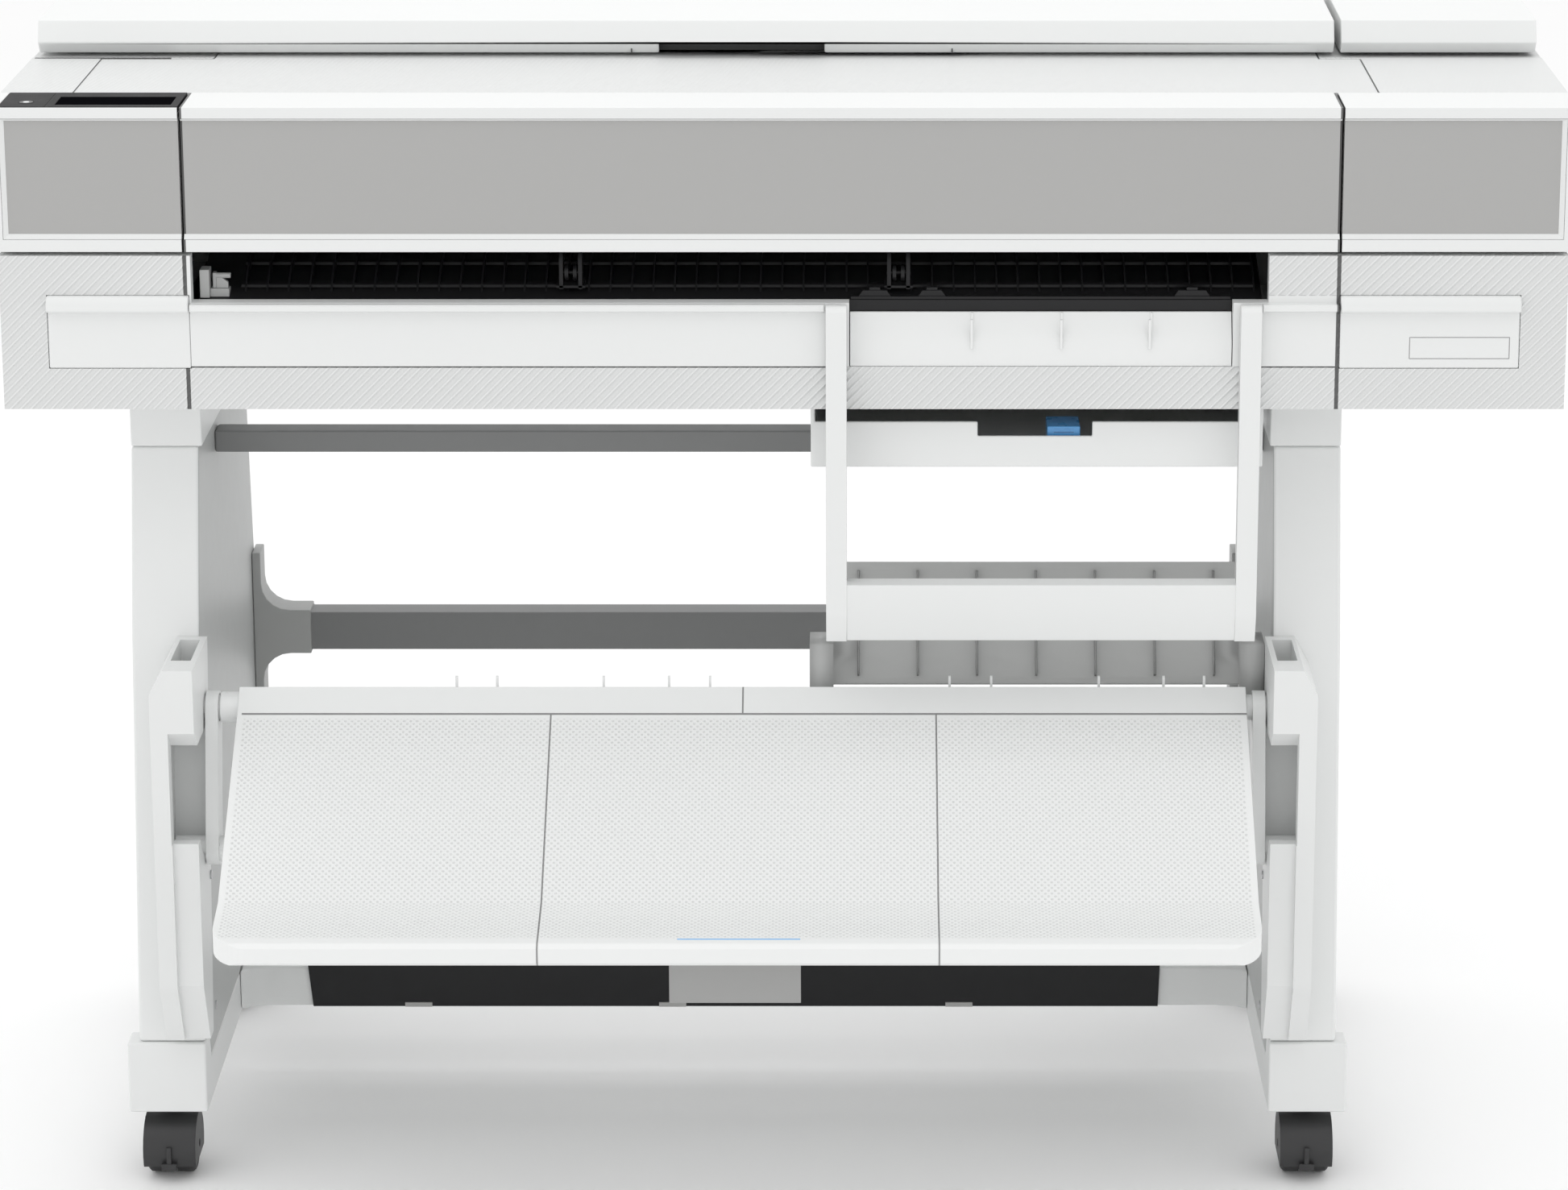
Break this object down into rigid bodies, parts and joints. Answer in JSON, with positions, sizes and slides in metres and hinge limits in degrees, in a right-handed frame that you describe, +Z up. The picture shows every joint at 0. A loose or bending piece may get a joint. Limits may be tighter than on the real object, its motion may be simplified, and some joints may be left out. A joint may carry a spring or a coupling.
{
  "type": "large format plotter",
  "caption": "Wide roll-fed plotter on a wheeled stand, with lift-up covers, a hanging sheet frame, a bottom sheet tray and a sloping front stacker platform.",
  "frame": {"origin": "on the floor, under the middle of the overall box", "axes": "+X to the right of someone facing the machine, front towards -Y, +Z up"},
  "size_m": [1.317, 0.698, 0.998],
  "materials": {
    "lower_housing": "satin",
    "ink_door": "satin",
    "side_cover": "satin",
    "sheet_flap": "satin",
    "power_inlet": "satin",
    "upper_shell_left": "satin",
    "upper_shell_right": "satin",
    "display_bezel": "satin",
    "touch_screen": "satin",
    "power_button": "satin",
    "side_panel_left": "satin",
    "side_panel_right": "satin",
    "front_cover": "satin",
    "cover_panel": "satin",
    "ink_cartridges": "satin",
    "roll_bay": "satin",
    "roll_spindle": "satin",
    "roll_cover": "satin",
    "rear_cover_right": "satin",
    "platen": "satin",
    "feed_roller": "satin",
    "star_wheel_shaft": "satin",
    "carriage_rail": "satin",
    "carriage": "satin",
    "drive_belt": "satin",
    "idler_pulley": "satin",
    "drive_pulley": "satin",
    "electronics_box": "satin",
    "sheet_tray": "satin",
    "tray_guide": "satin",
    "output_frame": "satin",
    "sheet_chute": "satin",
    "leg_left": "satin",
    "leg_right": "satin",
    "leg_cap_left": "satin",
    "leg_cap_right": "satin",
    "foot_left": "satin",
    "foot_right": "satin",
    "arm_left": "satin",
    "arm_right": "satin",
    "upper_beam": "satin",
    "mid_beam": "satin",
    "lower_crossbar": "satin",
    "apron_plate": "satin",
    "upper_tube": "satin",
    "lower_tube": "satin",
    "stacker_platform": "satin",
    "release_handle": "satin",
    "caster_hood_front_left": "satin",
    "caster_wheels_front_left": "satin",
    "caster_hood_front_right": "satin",
    "caster_wheels_front_right": "satin",
    "caster_hood_rear_left": "satin",
    "caster_wheels_rear_left": "satin",
    "caster_hood_rear_right": "satin",
    "caster_wheels_rear_right": "satin",
    "brake_lever_front_left": "satin",
    "brake_lever_front_right": "satin"
  },
  "bodies": {
    "machine": {"lower_housing": "lower_housing", "side_cover": "side_cover", "power_inlet": "power_inlet", "upper_shell_left": "upper_shell_left", "upper_shell_right": "upper_shell_right", "display_bezel": "display_bezel", "touch_screen": "touch_screen", "side_panel_left": "side_panel_left", "side_panel_right": "side_panel_right", "ink_cartridges": "ink_cartridges", "roll_bay": "roll_bay", "rear_cover_right": "rear_cover_right", "platen": "platen", "carriage_rail": "carriage_rail", "drive_belt": "drive_belt", "electronics_box": "electronics_box", "sheet_tray": "sheet_tray", "sheet_chute": "sheet_chute", "leg_left": "leg_left", "leg_right": "leg_right", "leg_cap_left": "leg_cap_left", "leg_cap_right": "leg_cap_right", "foot_left": "foot_left", "foot_right": "foot_right", "arm_left": "arm_left", "arm_right": "arm_right", "upper_beam": "upper_beam", "mid_beam": "mid_beam", "lower_crossbar": "lower_crossbar", "apron_plate": "apron_plate", "upper_tube": "upper_tube", "lower_tube": "lower_tube"},
    "front_cover": {"front_cover": "front_cover", "cover_panel": "cover_panel"},
    "roll_cover": {"roll_cover": "roll_cover"},
    "ink_door": {"ink_door": "ink_door"},
    "sheet_flap": {"sheet_flap": "sheet_flap"},
    "output_frame": {"output_frame": "output_frame"},
    "tray_guide": {"tray_guide": "tray_guide"},
    "stacker_platform": {"stacker_platform": "stacker_platform"},
    "release_handle": {"release_handle": "release_handle"},
    "carriage": {"carriage": "carriage"},
    "drive_pulley": {"drive_pulley": "drive_pulley"},
    "idler_pulley": {"idler_pulley": "idler_pulley"},
    "feed_roller": {"feed_roller": "feed_roller"},
    "star_wheel_shaft": {"star_wheel_shaft": "star_wheel_shaft"},
    "roll_spindle": {"roll_spindle": "roll_spindle"},
    "power_button": {"power_button": "power_button"},
    "caster_front_left": {"caster_hood_front_left": "caster_hood_front_left"},
    "wheels_front_left": {"caster_wheels_front_left": "caster_wheels_front_left"},
    "brake_front_left": {"brake_lever_front_left": "brake_lever_front_left"},
    "caster_rear_left": {"caster_hood_rear_left": "caster_hood_rear_left"},
    "wheels_rear_left": {"caster_wheels_rear_left": "caster_wheels_rear_left"},
    "caster_front_right": {"caster_hood_front_right": "caster_hood_front_right"},
    "wheels_front_right": {"caster_wheels_front_right": "caster_wheels_front_right"},
    "brake_front_right": {"brake_lever_front_right": "brake_lever_front_right"},
    "caster_rear_right": {"caster_hood_rear_right": "caster_hood_rear_right"},
    "wheels_rear_right": {"caster_wheels_rear_right": "caster_wheels_rear_right"}
  },
  "joints": [
    {"name": "front_cover_hinge", "type": "hinge", "parent": "machine", "child": "front_cover", "pos_m": [0, 0.0675, 0.9635], "axis": [-1, 0, 0], "range_deg": [0, 60]},
    {"name": "roll_cover_hinge", "type": "hinge", "parent": "machine", "child": "roll_cover", "pos_m": [0, 0.29075, 0.859], "axis": [-1, 0, 0], "range_deg": [0, 75]},
    {"name": "ink_door_hinge", "type": "hinge", "parent": "machine", "child": "ink_door", "pos_m": [-0.5558, -0.157, 0.7422], "axis": [1, 0, 0], "range_deg": [0, 80]},
    {"name": "sheet_flap_hinge", "type": "hinge", "parent": "machine", "child": "sheet_flap", "pos_m": [0.215, -0.1558, 0.7439], "axis": [1, 0, 0], "range_deg": [0, 70]},
    {"name": "output_frame_hinge", "type": "hinge", "parent": "machine", "child": "output_frame", "pos_m": [0, -0.1655, 0.7925], "axis": [-1, 0, 0], "range_deg": [0, 110]},
    {"name": "tray_guide_slide", "type": "slide", "parent": "machine", "child": "tray_guide", "axis": [1, 0, 0], "range_m": [-0.18, 0.14]},
    {"name": "platform_hinge", "type": "hinge", "parent": "machine", "child": "stacker_platform", "pos_m": [-0.04375, -0.106, 0.428], "axis": [-1, 0, 0], "range_deg": [0, 28]},
    {"name": "release_handle_hinge", "type": "hinge", "parent": "stacker_platform", "child": "release_handle", "pos_m": [-0.0408, -0.2905, 0.2865], "axis": [-1, 0, 0], "range_deg": [0, 20], "stiffness_Nm_per_rad": 0.4},
    {"name": "carriage_slide", "type": "slide", "parent": "machine", "child": "carriage", "axis": [1, 0, 0], "range_m": [-0.81, 0.015]},
    {"name": "drive_pulley_spin", "type": "hinge", "parent": "machine", "child": "drive_pulley", "pos_m": [0.4419, 0.037, 0.928], "axis": [0, 0, 1], "continuous": true},
    {"name": "idler_pulley_spin", "type": "hinge", "parent": "machine", "child": "idler_pulley", "pos_m": [-0.4779, 0.037, 0.928], "axis": [0, 0, 1], "continuous": true},
    {"name": "feed_roller_spin", "type": "hinge", "parent": "machine", "child": "feed_roller", "pos_m": [0, 0.048, 0.8207], "axis": [1, 0, 0], "continuous": true},
    {"name": "star_wheel_spin", "type": "hinge", "parent": "machine", "child": "star_wheel_shaft", "pos_m": [0, -0.108, 0.852], "axis": [1, 0, 0], "continuous": true},
    {"name": "roll_spindle_spin", "type": "hinge", "parent": "machine", "child": "roll_spindle", "pos_m": [0, 0.183, 0.915], "axis": [1, 0, 0], "continuous": true},
    {"name": "power_button_press", "type": "slide", "parent": "machine", "child": "power_button", "axis": [0, 0, -1], "range_m": [0, 0.0012], "stiffness_N_per_m": 300},
    {"name": "swivel_front_left", "type": "hinge", "parent": "machine", "child": "caster_front_left", "pos_m": [-0.54325, -0.095, 0.0622], "axis": [0, 0, 1], "continuous": true},
    {"name": "roll_front_left", "type": "hinge", "parent": "caster_front_left", "child": "wheels_front_left", "pos_m": [-0.54325, -0.109, 0.025], "axis": [1, 0, 0], "continuous": true},
    {"name": "brake_front_left", "type": "hinge", "parent": "caster_front_left", "child": "brake_front_left", "pos_m": [-0.54325, -0.14, 0.033], "axis": [-1, 0, 0], "range_deg": [0, 20]},
    {"name": "swivel_rear_left", "type": "hinge", "parent": "machine", "child": "caster_rear_left", "pos_m": [-0.54325, 0.313, 0.0622], "axis": [0, 0, 1], "continuous": true},
    {"name": "roll_rear_left", "type": "hinge", "parent": "caster_rear_left", "child": "wheels_rear_left", "pos_m": [-0.54325, 0.299, 0.025], "axis": [1, 0, 0], "continuous": true},
    {"name": "swivel_front_right", "type": "hinge", "parent": "machine", "child": "caster_front_right", "pos_m": [0.45575, -0.095, 0.0622], "axis": [0, 0, 1], "continuous": true},
    {"name": "roll_front_right", "type": "hinge", "parent": "caster_front_right", "child": "wheels_front_right", "pos_m": [0.45575, -0.109, 0.025], "axis": [1, 0, 0], "continuous": true},
    {"name": "brake_front_right", "type": "hinge", "parent": "caster_front_right", "child": "brake_front_right", "pos_m": [0.45575, -0.14, 0.033], "axis": [-1, 0, 0], "range_deg": [0, 20]},
    {"name": "swivel_rear_right", "type": "hinge", "parent": "machine", "child": "caster_rear_right", "pos_m": [0.45575, 0.313, 0.0622], "axis": [0, 0, 1], "continuous": true},
    {"name": "roll_rear_right", "type": "hinge", "parent": "caster_rear_right", "child": "wheels_rear_right", "pos_m": [0.45575, 0.299, 0.025], "axis": [1, 0, 0], "continuous": true}
  ],
  "couplings": [
    {"joint": "drive_pulley_spin", "follows": "carriage_slide", "rad_per_m": 100},
    {"joint": "idler_pulley_spin", "follows": "carriage_slide", "rad_per_m": 100}
  ]
}
